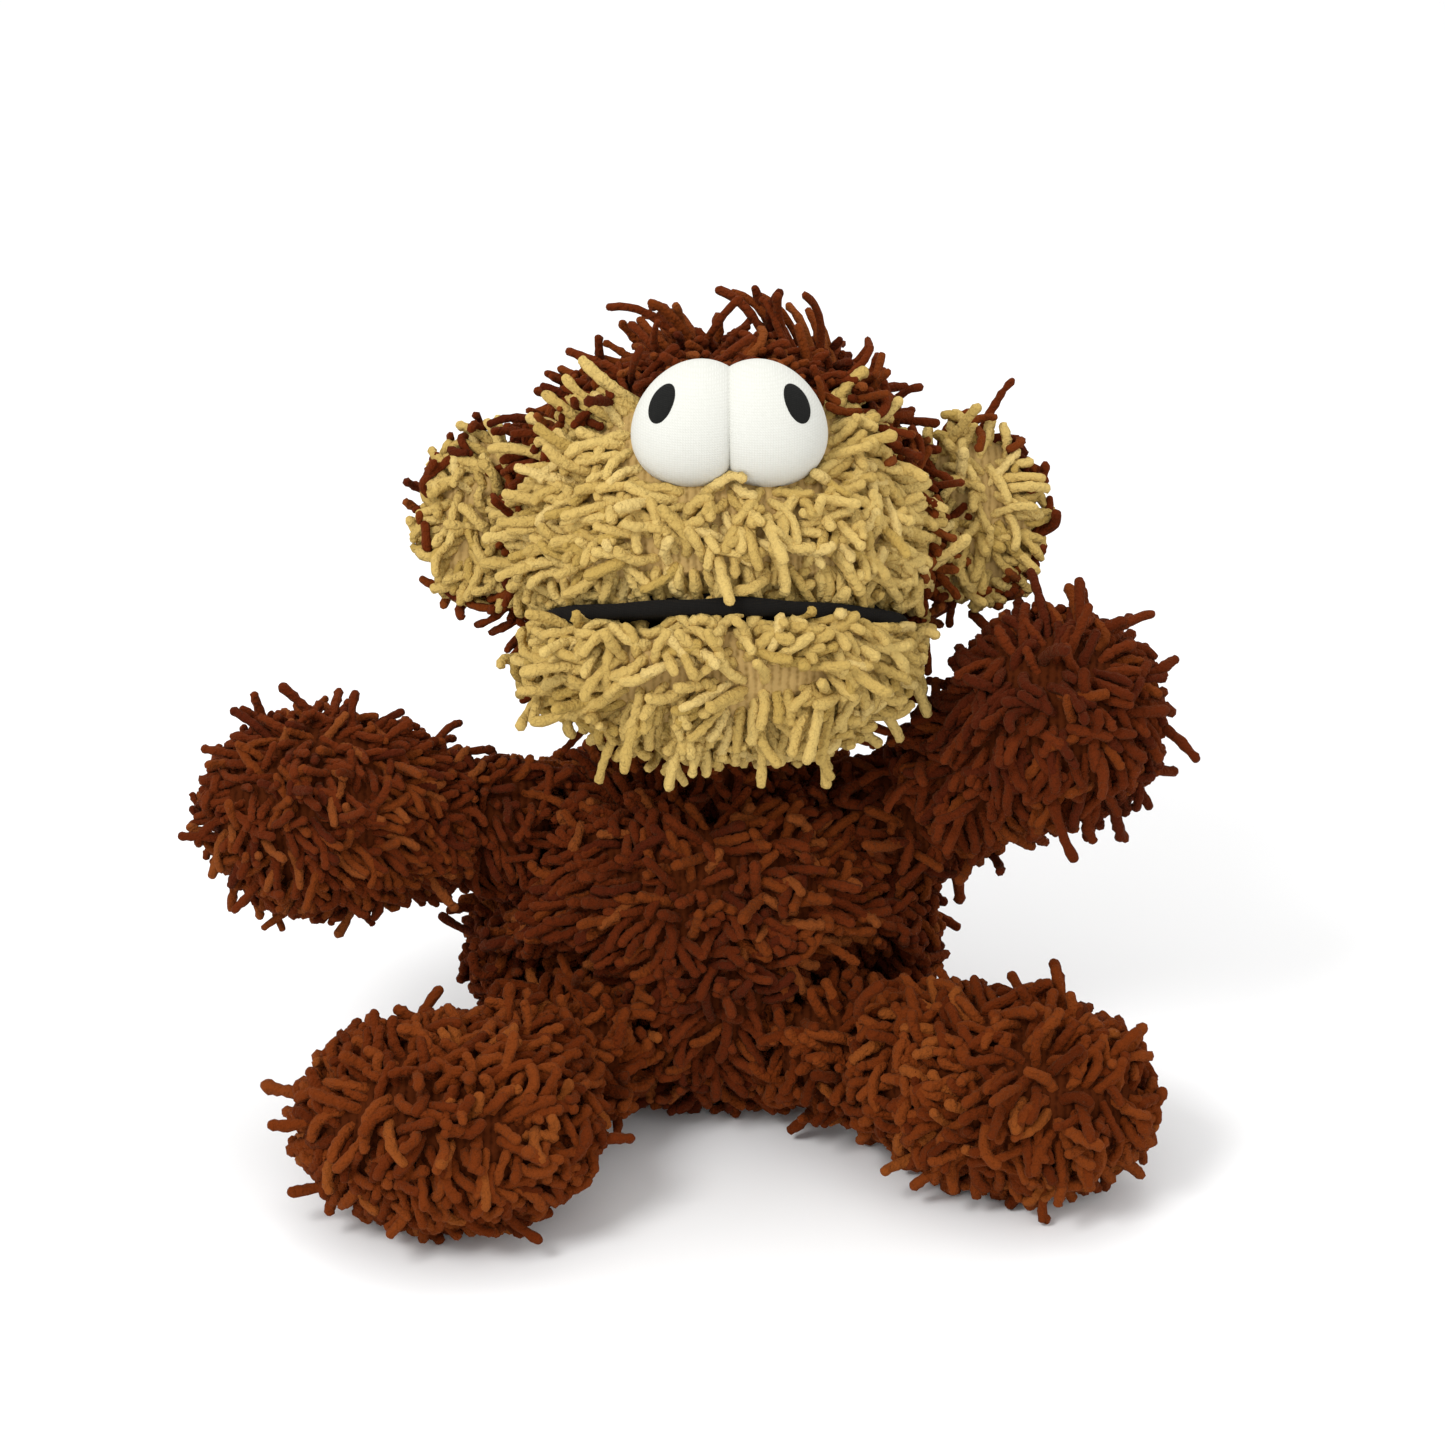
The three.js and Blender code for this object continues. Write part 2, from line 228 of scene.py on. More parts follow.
def cloth_material(name, low, high, thread, roughness, sheen):
    """A fine brushed cloth: a close weave under a soft nap."""
    material, shader = new_material(name, low, roughness, sheen=sheen, specular=0.2)
    place = node(material, "ShaderNodeTexCoord")
    heights = []
    for direction in ("X", "Z"):
        weave = node(material, "ShaderNodeTexWave", Scale=thread, Distortion=0.6, Detail=1.0)
        weave.bands_direction = direction
        link(material, place.outputs["Object"], weave.inputs["Vector"])
        heights.append(weave.outputs["Fac"])
    crossing = combined(material, "MULTIPLY", *heights)
    nap = object_noise(material, NAP, 3.0, 0.7)
    height = combined(material, "ADD", crossing, nap.outputs["Fac"])
    # The nap's noise gives the cloth its own uneven tone. The darker colour in the weave's hollows is
    # painted shade.
    colour_with_hollow_shade(material, shader, height, low, high)
    add_bump(material, shader, height, 0.35, CLOTH_BUMP)
    return material


RED_SHEEN = (1.0, 0.45, 0.2)
STRAW_SHEEN = (1.0, 0.8, 0.4)
BROWN = shades(
    "brown_yarn",
    [
        (0.070, 0.011, 0.003),
        (0.092, 0.015, 0.003),
        (0.115, 0.020, 0.004),
        (0.145, 0.030, 0.005),
        (0.190, 0.048, 0.010),
    ],
    RED_SHEEN,
)
RUST = shades(
    "rust_yarn",
    [
        (0.080, 0.013, 0.002),
        (0.110, 0.019, 0.003),
        (0.138, 0.026, 0.004),
        (0.172, 0.036, 0.006),
        (0.220, 0.056, 0.010),
    ],
    RED_SHEEN,
)
TAN = shades(
    "tan_yarn",
    [
        (0.46, 0.305, 0.080),
        (0.51, 0.345, 0.100),
        (0.56, 0.385, 0.118),
        (0.61, 0.430, 0.140),
        (0.65, 0.470, 0.170),
    ],
    STRAW_SHEEN,
)
# Both backings are darker than their yarn. This is partly the knit's own colour and partly painted shade, so
# the backing seen in the gaps between strands reads as the shadow there.
BROWN_BACKING_SHADED = knit_material("brown_backing_shaded", (0.018, 0.0035, 0.001), (0.06, 0.0125, 0.003))
TAN_BACKING_SHADED = knit_material("tan_backing_shaded", (0.19, 0.115, 0.03), (0.43, 0.285, 0.105))
LINING = cloth_material("black_lining", (0.0012, 0.001, 0.0008), (0.006, 0.005, 0.004), 500.0, 1.0, 0.0)
EYE_CLOTH = cloth_material("white_eye_cloth", (0.54, 0.54, 0.49), (0.61, 0.61, 0.565), 420.0, 0.95, 0.05)
PUPIL_FELT = cloth_material("pupil_stitching", (0.002, 0.002, 0.002), (0.010, 0.010, 0.009), 700.0, 1.0, 0.0)


# ---------------------------------------------------------------- meshes


def new_object(name, vertices, faces, smooth=True):
    mesh = bpy.data.meshes.new(name)
    mesh.from_pydata([tuple(v) for v in vertices], [], [tuple(f) for f in faces])
    mesh.update()
    made = bpy.data.objects.new(name, mesh)
    bpy.context.scene.collection.objects.link(made)
    if smooth:
        mesh.polygons.foreach_set("use_smooth", [True] * len(mesh.polygons))
    return made


def joined_nodes(nodes):
    """One loose mesh of several CAD nodes, for remeshing."""
    joined = bmesh.new()
    for name in nodes:
        joined.from_mesh(frame["nodes"][name].data)
    bmesh.ops.remove_doubles(joined, verts=joined.verts, dist=1e-6)
    mesh = bpy.data.meshes.new("joined")
    joined.to_mesh(mesh)
    joined.free()
    return mesh


def skin_around(name, nodes, voxel=SIMULATION_VOXEL, inset=SKIN_INSET, rounds=6):
    """A smooth closed cloth skin around some CAD nodes, drawn in from their surface by inset."""
    made = bpy.data.objects.new(name, joined_nodes(nodes))
    bpy.context.scene.collection.objects.link(made)
    remesh = made.modifiers.new("remesh", "REMESH")
    remesh.mode = "VOXEL"
    remesh.voxel_size = voxel
    soften = made.modifiers.new("soften", "SMOOTH")
    soften.factor = SMOOTHING
    soften.iterations = rounds
    draw_in = made.modifiers.new("draw_in", "DISPLACE")
    draw_in.strength = -inset
    draw_in.mid_level = 0
    again = made.modifiers.new("again", "SMOOTH")
    again.factor = SMOOTHING
    again.iterations = LAST_ROUNDS
    graph = bpy.context.evaluated_depsgraph_get()
    mesh = bpy.data.meshes.new_from_object(made.evaluated_get(graph))
    made.modifiers.clear()
    made.data = mesh
    keep_largest_part(mesh)
    mesh.polygons.foreach_set("use_smooth", [True] * len(mesh.polygons))
    return made


def swell(skin, seam_distance, room):
    """Stuffs a skin by a short cloth simulation, held along its seams. No point moves further than room."""
    mesh = skin.data
    start = coordinates(mesh)
    held = np.clip(1 - seam_distance(start) / SEAM_HOLD, 0, 1)
    pins = skin.vertex_groups.new(name="seams")
    for index in np.nonzero(held > LEAST_HOLD)[0].tolist():
        pins.add([index], float(held[index]), "REPLACE")
    cloth = skin.modifiers.new("stuffing", "CLOTH")
    cloth.settings.vertex_group_mass = "seams"
    cloth.settings.use_pressure = True
    cloth.settings.uniform_pressure_force = PRESSURE
    cloth.settings.effector_weights.gravity = 0
    cloth.point_cache.frame_start = 1
    cloth.point_cache.frame_end = SWELL_FRAMES
    for number in range(1, SWELL_FRAMES + 1):
        bpy.context.scene.frame_set(number)
    graph = bpy.context.evaluated_depsgraph_get()
    stuffed = skin.evaluated_get(graph).to_mesh()
    move = coordinates(stuffed) - start
    skin.evaluated_get(graph).to_mesh_clear()
    skin.modifiers.clear()
    skin.vertex_groups.clear()
    bpy.context.scene.frame_set(1)
    far = np.linalg.norm(move, axis=1, keepdims=True)
    move *= np.minimum(1, room / np.maximum(far, 1e-9))
    mesh.vertices.foreach_set("co", (start + move).ravel())
    mesh.update()


def subdivide(skin):
    """Rounds off the voxels of a skin."""
    finer = skin.modifiers.new("finer", "SUBSURF")
    finer.levels = 1
    graph = bpy.context.evaluated_depsgraph_get()
    mesh = bpy.data.meshes.new_from_object(skin.evaluated_get(graph))
    skin.modifiers.clear()
    skin.data = mesh


def coordinates(mesh):
    """The mesh's vertices as one array."""
    points = np.empty(len(mesh.vertices) * 3)
    mesh.vertices.foreach_get("co", points)
    return points.reshape(-1, 3)


def keep_largest_part(mesh):
    """Deletes the small closed shells that a voxel remesh leaves in the gaps between nodes."""
    work = bmesh.new()
    work.from_mesh(mesh)
    work.verts.ensure_lookup_table()
    left = set(range(len(work.verts)))
    parts = []
    while left:
        stack = [left.pop()]
        part = [stack[0]]
        while stack:
            for edge in work.verts[stack.pop()].link_edges:
                for vertex in edge.verts:
                    if vertex.index in left:
                        left.remove(vertex.index)
                        stack.append(vertex.index)
                        part.append(vertex.index)
        parts.append(part)
    parts.sort(key=len)
    small = [work.verts[i] for part in parts[:-1] for i in part]
    bmesh.ops.delete(work, geom=small, context="VERTS")
    work.to_mesh(mesh)
    work.free()


class Surface:
    """A skin as arrays, for sampling roots on it and for finding the nearest point."""

    def __init__(self, skin):
        mesh = skin.data
        mesh.calc_loop_triangles()
        self.points = coordinates(mesh)
        self.normals = np.empty(len(mesh.vertices) * 3)
        mesh.vertices.foreach_get("normal", self.normals)
        self.normals = self.normals.reshape(-1, 3)
        self.triangles = np.empty(len(mesh.loop_triangles) * 3, np.int32)
        mesh.loop_triangles.foreach_get("vertices", self.triangles)
        self.triangles = self.triangles.reshape(-1, 3)
        self.tree = BVHTree.FromPolygons(self.points.tolist(), self.triangles.tolist())
        a, b, c = (self.points[self.triangles[:, i]] for i in range(3))
        self.areas = np.linalg.norm(np.cross(b - a, c - a), axis=1) / 2
        self.area = self.areas.sum()

    def scatter(self, count, rng):
        """Random points spread evenly over the surface, with their normals."""
        chosen = rng.choice(len(self.areas), count, p=self.areas / self.area)
        u, v = rng.random(count), rng.random(count)
        over = u + v > 1
        u[over], v[over] = 1 - u[over], 1 - v[over]
        w = 1 - u - v
        weights = np.stack([w, u, v], 1)[:, :, None]
        corners = self.triangles[chosen]
        points = (self.points[corners] * weights).sum(1)
        normals = unit((self.normals[corners] * weights).sum(1))
        return points, normals

    def nearest(self, points):
        """The nearest place on the surface to each point, and the way it faces."""
        found = [self.tree.find_nearest(p) for p in points.tolist()]
        place = np.array([f[0] for f in found])
        normal = np.array([f[1] for f in found])
        return place, normal


def unit(vectors):
    return vectors / np.maximum(np.linalg.norm(vectors, axis=-1, keepdims=True), 1e-12)


def tangent(vectors, normals):
    return vectors - normals * (vectors * normals).sum(-1, keepdims=True)


def spaced(points, spacing):
    """The indices of points that keep at least spacing between them, taken in order."""
    grid = {}
    kept = []
    cell = np.floor(points / spacing).astype(int)
    limit = spacing * spacing
    around = [(i, j, k) for i in (-1, 0, 1) for j in (-1, 0, 1) for k in (-1, 0, 1)]
    listed = points.tolist()
    for index, (x, y, z) in enumerate(cell.tolist()):
        px, py, pz = listed[index]
        clear = True
        for i, j, k in around:
            for qx, qy, qz in grid.get((x + i, y + j, z + k), ()):
                if (px - qx) ** 2 + (py - qy) ** 2 + (pz - qz) ** 2 < limit:
                    clear = False
                    break
            if not clear:
                break
        if clear:
            grid.setdefault((x, y, z), []).append((px, py, pz))
            kept.append(index)
    return np.array(kept)


class Swirl:
    """A smooth field of directions, for the way yarn is tousled."""

    def __init__(self, rng, wavelength, waves=7):
        self.wave = unit(rng.normal(size=(waves, 3))) * 2 * math.pi / wavelength
        self.phase = rng.random(waves) * 2 * math.pi
        self.push = rng.normal(size=(waves, 3))

    def __call__(self, points):
        strength = np.sin(points @ self.wave.T + self.phase)
        return strength @ self.push / math.sqrt(len(self.phase))


# ---------------------------------------------------------------- yarn


def away_from(pole, reach=16):
    """A comb that runs away from a point, as yarn does around a crown, and dies out within reach of it."""
    pole = np.array(pole, float) * MM

    def comb(points):
        offset = points - pole
        distance = np.linalg.norm(offset, axis=1, keepdims=True)
        return offset / np.maximum(distance, reach * MM)

    return comb


def along(direction, strength=1.0):
    """A comb that runs the same way everywhere."""
    direction = unit(np.array(direction, float)) * strength
    return lambda points: np.tile(direction, (len(points), 1))


def mixed(*combs):
    """The sum of some combs."""
    return lambda points: sum(comb(points) for comb in combs)


class Pile:
    """How the yarn of one panel is cut and combed. Lengths are in millimetres.

    spread is how much the length varies, and layer is how high the strands pile up. tousle and mess say
    how far they leave the comb, in waves and one by one. curl is how much they bend, stray is the share of
    strands that stick out, and lean is how soon they lie down.
    """

    def __init__(
        self, comb, colours, spacing=3.3, length=13.0, spread=2.2, radius=1.5, layer=5.0,
        tousle=0.5, mess=0.55, curl=0.8, stray=0.05, lean=0.7,
    ):
        self.comb = comb
        self.colours = colours
        self.spacing = spacing * MM
        self.length = length * MM
        self.spread = spread * MM
        self.radius = radius * MM
        self.layer = layer * MM
        self.tousle = tousle
        self.mess = mess
        self.curl = curl
        self.stray = stray
        self.lean = lean


def grow_paths(surface, roots, normals, pile, rng):
    """Paths of strands that leave the skin, lean over along the comb and lie on each other like shingles."""
    count = len(roots)
    length = rng.normal(pile.length, pile.spread, count)
    length = np.clip(length, pile.length * SHORTEST, pile.length * LONGEST)
    stray = rng.random(count) < pile.stray
    length[stray] *= STRAY_LENGTH
    step = (length / RINGS)[:, None]
    comb = tangent(pile.comb(roots), normals)
    comb += pile.tousle * tangent(Swirl(rng, TOUSLE_WAVE)(roots), normals)
    comb += pile.mess * tangent(rng.normal(size=(count, 3)), normals)
    strength = np.minimum(1, np.linalg.norm(comb, axis=1))[:, None]
    comb = unit(comb)
    layer = pile.radius + pile.layer * rng.random(count)
    layer[stray] = STRAY_HEIGHT
    tip_up = np.where(rng.random(count) < RAISED_SHARE, RAISED_TIP * rng.random(count), 0)
    bend = rng.normal(0, pile.curl, count)
    wave = rng.normal(0, pile.curl, count)
    phase = rng.random(count) * 2 * math.pi
    lean = pile.lean * (LEAST_LEAN + strength) * rng.uniform(*LEAN_VARIES, (count, 1))
    heading = unit(normals + comb * lean)
    side = unit(np.cross(normals, comb))
    place = roots - normals * SINK
    path = [place]
    grip = np.where(stray, STRAY_GRIP, rng.uniform(*GRIP, count))[:, None]
    for ring in range(RINGS):
        place = place + heading * step
        ground, facing = surface.nearest(place)
        height = ((place - ground) * facing).sum(1)
        share = (ring + 1) / RINGS
        wanted = layer * min(1, share * SETTLES_BY) + tip_up * max(0, share - TIP_LIFTS_FROM) * 2
        pull = np.clip((wanted - height) / SETTLE_DEPTH, -1.0, 1.0)[:, None]
        turn = (bend + wave * np.cos(phase + WIGGLE * share)) / RINGS
        turn = np.clip(turn, -SHARPEST_TURN, SHARPEST_TURN)
        comb = unit(tangent(comb, facing) + side * np.tan(turn)[:, None])
        side = unit(np.cross(facing, comb))
        heading = unit(heading * (1 - grip) + (comb + facing * pull) * grip)
        low = place[:, 2] < pile.radius + FLOOR_GAP
        place[low, 2] = pile.radius + FLOOR_GAP
        path.append(place)
    return np.stack(path, 1), side


def tube_rings(paths, side, radius, rng):
    """The rings of vertices around each strand: slightly lumpy, and closing in over the tip."""
    count, points = paths.shape[:2]
    direction = unit(np.gradient(paths, axis=1))
    end, last = paths[:, -1], direction[:, -1]
    lumps = np.clip(1 + LUMPS * rng.normal(size=(count, points)), THINNEST, THICKEST)
    lumps[:, 0] = THINNEST
    centre, scale = [paths], [lumps]
    for ahead, size in TIP_RINGS:
        centre.append((end + last * radius * ahead)[:, None])
        scale.append(np.full((count, 1), size))
        direction = np.concatenate([direction, last[:, None]], 1)
    centre = np.concatenate(centre, 1)
    scale = np.concatenate(scale, 1) * radius
    first = unit(side[:, None] - direction * (side[:, None] * direction).sum(-1, keepdims=True))
    second = np.cross(direction, first)
    angle = (np.arange(SIDES) * 2 * math.pi / SIDES)[None, None, :, None]
    fuzz = 1 + FUZZ * rng.normal(size=(*scale.shape, SIDES))
    around = first[:, :, None] * np.cos(angle) + second[:, :, None] * np.sin(angle)
    rings = centre[:, :, None] + around * (scale[:, :, None] * fuzz)[..., None]
    root = paths[:, 0] - direction[:, 0] * radius * ROOT_REACH
    tip = end + last * radius * TIP_REACH
    rings[..., 2] = np.maximum(rings[..., 2], FLOOR_GAP)
    tip[:, 2] = np.maximum(tip[:, 2], FLOOR_GAP)
    return rings, root, tip


def tube_faces(rings):
    """The faces of one strand: the quads between its rings, and the triangles that close its two ends."""
    ring, corner = np.meshgrid(np.arange(rings - 1), np.arange(SIDES), indexing="ij")
    here, there = ring * SIDES + corner, ring * SIDES + (corner + 1) % SIDES
    quads = np.stack([here, there, there + SIDES, here + SIDES], -1).reshape(-1, 4)
    corner = np.arange(SIDES)
    onward = (corner + 1) % SIDES
    last_ring = (rings - 1) * SIDES
    root, tip = np.full(SIDES, rings * SIDES), np.full(SIDES, rings * SIDES + 1)
    caps = np.concatenate([
        np.stack([onward, corner, root], -1),
        np.stack([last_ring + corner, last_ring + onward, tip], -1),
    ])
    return quads, caps


def mesh_from_arrays(name, vertices, quads, caps, shade_of_quads, shade_of_caps):
    """A smooth mesh of quads and triangles. Arrays are much quicker than lists for this many faces."""
    corners = np.concatenate([quads.ravel(), caps.ravel()]).astype(np.int32)
    sizes = np.concatenate([np.full(len(quads), 4), np.full(len(caps), 3)]).astype(np.int32)
    starts = np.concatenate([[0], np.cumsum(sizes)[:-1]]).astype(np.int32)
    shades_used = np.concatenate([shade_of_quads, shade_of_caps]).astype(np.int32)
    mesh = bpy.data.meshes.new(name)
    mesh.vertices.add(len(vertices))
    mesh.vertices.foreach_set("co", vertices.astype(np.float32).ravel())
    mesh.loops.add(len(corners))
    mesh.loops.foreach_set("vertex_index", corners)
    mesh.polygons.add(len(sizes))
    mesh.polygons.foreach_set("loop_start", starts)
    mesh.polygons.foreach_set("use_smooth", np.ones(len(sizes), bool))
    mesh.polygons.foreach_set("material_index", shades_used)
    mesh.update(calc_edges=True)
    mesh.validate()
    return mesh


def tube_mesh(name, paths, side, pile, rng, shade):
    """One mesh of all the strands of a panel, each in its own shade."""
    count = len(paths)
    radius = pile.radius * rng.uniform(*THICKNESS_VARIES, count)[:, None]
    rings, root, tip = tube_rings(paths, side, radius, rng)
    each = rings.shape[1] * SIDES + 2
    vertices = np.concatenate([rings.reshape(count, -1, 3), root[:, None], tip[:, None]], 1).reshape(-1, 3)
    quads, caps = tube_faces(rings.shape[1])
    shift = (np.arange(count) * each)[:, None, None]
    mesh = mesh_from_arrays(
        name, vertices, (quads[None] + shift).reshape(-1, 4), (caps[None] + shift).reshape(-1, 3),
        np.repeat(shade, len(quads)), np.repeat(shade, len(caps)),
    )
    for colour in pile.colours:
        mesh.materials.append(colour)
    made = bpy.data.objects.new(name, mesh)
    bpy.context.scene.collection.objects.link(made)
    return made


def make_pile(name, body, surface, mine, pile, seed, avoid=None, keep_out=()):
    """Grows one panel's yarn. mine says which roots belong to the panel, and avoid says where none grow."""
    rng = np.random.default_rng(SEED * 1000 + seed)
    count = int(surface.area / pile.spacing**2 * ROOT_TRIES)
    points, normals = surface.scatter(count, rng)
    inside = mine(points)
    if avoid is not None:
        inside &= ~avoid(points)
    points, normals = points[inside], normals[inside]
    kept = spaced(points, pile.spacing)
    points, normals = points[kept], normals[kept]
    paths, side = grow_paths(surface, points, normals, pile, rng)
    for push in keep_out:
        paths = push(paths, pile.radius)
    lightest = len(pile.colours) - 1
    tone = Swirl(rng, SHADE_WAVE)(points)[:, 0] * TONE_DRIFT + rng.normal(0, 1.0, len(points))
    shade = np.clip(np.round(tone + lightest / 2), 0, lightest)
    made = tube_mesh(name, paths, side, pile, rng, shade)
    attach(made, body)
    return made


def nearest_of(nodes):
    """Says, for points, which of some CAD nodes is nearest, and by how much the next one is further."""
    trees = []
    for name in nodes:
        mesh = frame["nodes"][name].data
        mesh.calc_loop_triangles()
        trees.append(
            BVHTree.FromPolygons([v.co for v in mesh.vertices], [t.vertices for t in mesh.loop_triangles])
        )

    def which(points):
        gaps = np.array([[tree.find_nearest(p)[3] for tree in trees] for p in points.tolist()])
        order = np.sort(gaps, 1)
        margin = order[:, 1] - order[:, 0] if len(nodes) > 1 else np.full(len(points), 1.0)
        return gaps.argmin(1), margin

    return which


def skin_piece(name, body, slot, nodes, material, fill=0.8, seam=None, inset=SKIN_INSET, **options):
    """A padded skin that stands for some CAD nodes. With a seam it is drawn in to make room, and stuffed."""
    if seam:
        inset += SWELL_ROOM * SWELL_GUESS
    skin = skin_around(name, nodes, inset=inset, **options)
    if seam:
        swell(skin, seam, SWELL_ROOM)
    subdivide(skin)
    skin.data.materials.append(material)
    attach(skin, body)
    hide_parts(*nodes)
    return skin


def to_head(points):
    """Points in the head's own frame: x to its left, y to its back, z up."""
    return (points - np.array(HEAD_CENTRE)) @ TO_HEAD.T


def from_head(points):
    return points @ TO_HEAD + np.array(HEAD_CENTRE)


# ---------------------------------------------------------------- the toy


def make_limb(name, bend, panels, pile, seed):
    """An arm or a leg: one skin, the yarn of its two panels, and the bend at its root."""
    nodes = [f"{name}_{panel}_panel" for panel in panels]
    which = nearest_of(nodes)
    skin = skin_piece(
        f"{name}_skin", name, "brown_pile", [*nodes, f"{name}_stuffing"], BROWN_BACKING_SHADED,
        seam=lambda p: which(p)[1],
    )
    surface = Surface(skin)
    for index, panel in enumerate(panels):
        make_pile(
            f"{name}_{panel}_pile", name, surface,
            lambda p: which(p)[0] == index, pile, seed + index,
        )
    make_bend(bend, pile, seed + 5)


# The yarn of each limb runs away from a point (in millimetres) beyond its rounded end.
DOWN = along((0, 0, -1), 0.35)
LIMBS = {
    "arm_left": {
        "bend": "shoulder_left",
        "panels": ("upper", "lower"),
        "seed": 40,
        # This arm draws only the four darker brown shades: painted shade, standing in for the shade that
        # falls on it.
        "pile": Pile(
            mixed(away_from((90, -70, 172), 30), DOWN), BROWN[:4],
            spacing=3.2, length=12, radius=1.6, stray=0.09,
        ),
    },
    "arm_right": {
        "bend": "shoulder_right",
        "panels": ("upper", "lower"),
        "seed": 50,
        "pile": Pile(
            mixed(away_from((-135, -50, 120), 60), DOWN), BROWN,
            spacing=2.7, length=10, radius=1.35, stray=0.08,
        ),
    },
    "leg_left": {
        "bend": "hip_left",
        "panels": ("top", "sole"),
        "seed": 60,
        "pile": Pile(away_from((107, -120, 73), 24), RUST, spacing=3.2, length=12, radius=1.7, curl=1.2),
    },
    "leg_right": {
        "bend": "hip_right",
        "panels": ("top", "sole"),
        "seed": 70,
        "pile": Pile(away_from((-100, -130, 70), 24), RUST, spacing=3.2, length=12, radius=1.7, curl=1.2),
    },
}


def make_bend(bend, pile, seed):
    """The stuffed neck of a limb or of the head, which shows only as a tuft of yarn in the gap."""
    ball = skin_piece(
        f"{bend}_skin", bend, "brown_pile", [f"{bend}_stuffing"], BROWN_BACKING_SHADED, inset=2 * MM, rounds=3
    )
    tuft = Pile(pile.comb, pile.colours, length=12, layer=6, mess=0.9, radius=pile.radius / MM)
    make_pile(f"{bend}_pile", bend, Surface(ball), lambda p: p[:, 2] > 2 * MM, tuft, seed)


def beside_seam(sign, middle, rise):
    """A comb that runs outwards from the torso's seam, upwards above a height and downwards below it."""
    def comb(points):
        up = rise * np.tanh((points[:, 2] / MM - middle) / BELLY_FADE) - BELLY_DROP
        return np.stack([np.full(len(points), sign * BELLY_OUTWARDS), np.zeros(len(points)), up], 1)

    return comb


SEAT_HEIGHT = 3 * MM
SEAM_GAP = 0.5 * MM
BELLY_FADE = 25
BELLY_OUTWARDS = 0.75
BELLY_DROP = 0.15


def make_torso():
    """The torso's two panels, which meet at the front seam, and the neck."""
    nodes = ["torso_left_panel", "torso_right_panel"]
    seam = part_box("torso_left_panel")[0].x
    skin = skin_piece(
        "torso_skin", "torso", "brown_pile", [*nodes, "torso_stuffing"], BROWN_BACKING_SHADED,
        seam=lambda p: np.minimum(np.abs(p[:, 0] - seam), np.maximum(p[:, 2] - SEAT_HEIGHT, 0)),
    )
    surface = Surface(skin)
    combs = {"torso_left": (1, beside_seam(1, 72, 0.55)), "torso_right": (-1, beside_seam(-1, 92, 0.3))}
    for index, (name, (sign, comb)) in enumerate(combs.items()):
        pile = Pile(comb, BROWN, spacing=3.1, length=10.8, radius=1.6, layer=6, mess=0.5, stray=0.05)
        make_pile(
            f"{name}_pile", "torso", surface,
            lambda p: sign * (p[:, 0] - seam) > SEAM_GAP, pile, 10 + index,
            avoid=lambda p: p[:, 2] < SEAT_HEIGHT / 2,
        )
    make_bend("neck", Pile(along((0, 0, -1)), BROWN), 15)


# The seam between the face and the back of the head: two points (y, z) of a line, in the head's frame.
FACE_EDGE = {"low": (2, -20), "high": (-40, 46)}
FACE_TOP = 37
FACE_BOTTOM = -26


def ahead_of_face_seam(local):
    """How far a point is ahead of the leaning plane between the face and the back of the head, in mm."""
    (low_y, low_z), (high_y, high_z) = FACE_EDGE["low"], FACE_EDGE["high"]
    edge = low_y + (local[:, 2] - low_z) * (high_y - low_y) / (high_z - low_z)
    return edge - local[:, 1]


def face_side(points):
    """True where the tan face is."""
    local = to_head(points) / MM
    return (ahead_of_face_seam(local) > 0) & (local[:, 2] > FACE_BOTTOM) & (local[:, 2] < FACE_TOP)


def face_seam_distance(points):
    return np.abs(ahead_of_face_seam(to_head(points) / MM)) * MM


# The eyes, in the head's frame. No yarn grows inside EYE_SHADE times their radii.
EYES = {"left": 1, "right": -1}
EYE_MIDDLE = Vector((2.2, -50, 28.5)) * MM
EYE_SPREAD = 10.7 * MM
EYE_RADII = Vector((18.7, 17.5, 18.5)) * MM
EYE_CREASE = 3.0 * MM
EYE_OVERLAP = 1.2 * MM
EYE_SHADE = (0.97, 1.6, 1.02)
EYE_OVERLAP_FROM = 1.3
EYE_NARROWS = 0.1


def eye_centre(sign):
    return np.array(EYE_MIDDLE) + np.array([sign * EYE_SPREAD, 0, 0])


def out_of_eyes(paths, margin):
    """Moves strands that would run through an eye out to its surface."""
    local = to_head(paths)
    for sign in EYES.values():
        centre = eye_centre(sign)
        radii = np.array(EYE_RADII) + margin
        offset = (local - centre) / radii
        length = np.linalg.norm(offset, axis=-1, keepdims=True)
        pushed = centre + offset / np.maximum(length, 1e-9) * radii
        local = np.where(length < 1, pushed, local)
    return from_head(local)


def under_eyes(points):
    """True where an eye covers the head."""
    local = to_head(points)
    hidden = np.zeros(len(points), bool)
    for sign in EYES.values():
        offset = (local - eye_centre(sign)) / (np.array(EYE_RADII) * EYE_SHADE)
        hidden |= np.linalg.norm(offset, axis=1) < 1
    return hidden


def in_band(points, band):
    """True on a bare line of backing that shows between two rows of yarn."""
    x, _, z = (to_head(points) / MM).T
    return (np.abs(z - band["z"]) < band["half"]) & (x > band["from"]) & (x < band["to"])


def in_mouth(points, which):
    """True on the roof or the floor of the mouth, where the lining lies and no yarn grows."""
    spec = MOUTH[which]
    x, y, z = (to_head(points) / MM).T
    across, forward = spec["across"] - MOUTH_RIM, spec["forward"] - MOUTH_RIM
    inside = (x / across) ** 2 + ((y - spec["middle"]) / forward) ** 2 < 1
    return inside & (np.abs(z - spec["z"]) < MOUTH_RIM + 1)


def in_rows(comb, high, low, middle):
    """A comb that turns sideways, away from a middle, between two heights of the head, as over a seam."""
    def rows(points):
        local = to_head(points) / MM
        share = np.clip(np.minimum(high - local[:, 2], local[:, 2] - low) / ROW_FADE, 0, 1)[:, None]
        sideways = np.tanh((local[:, :1] - middle) / PARTING) * ROW_OUTWARDS - ROW_DOWNWARDS
        return comb(points) * (1 - share) + sideways * share

    return rows


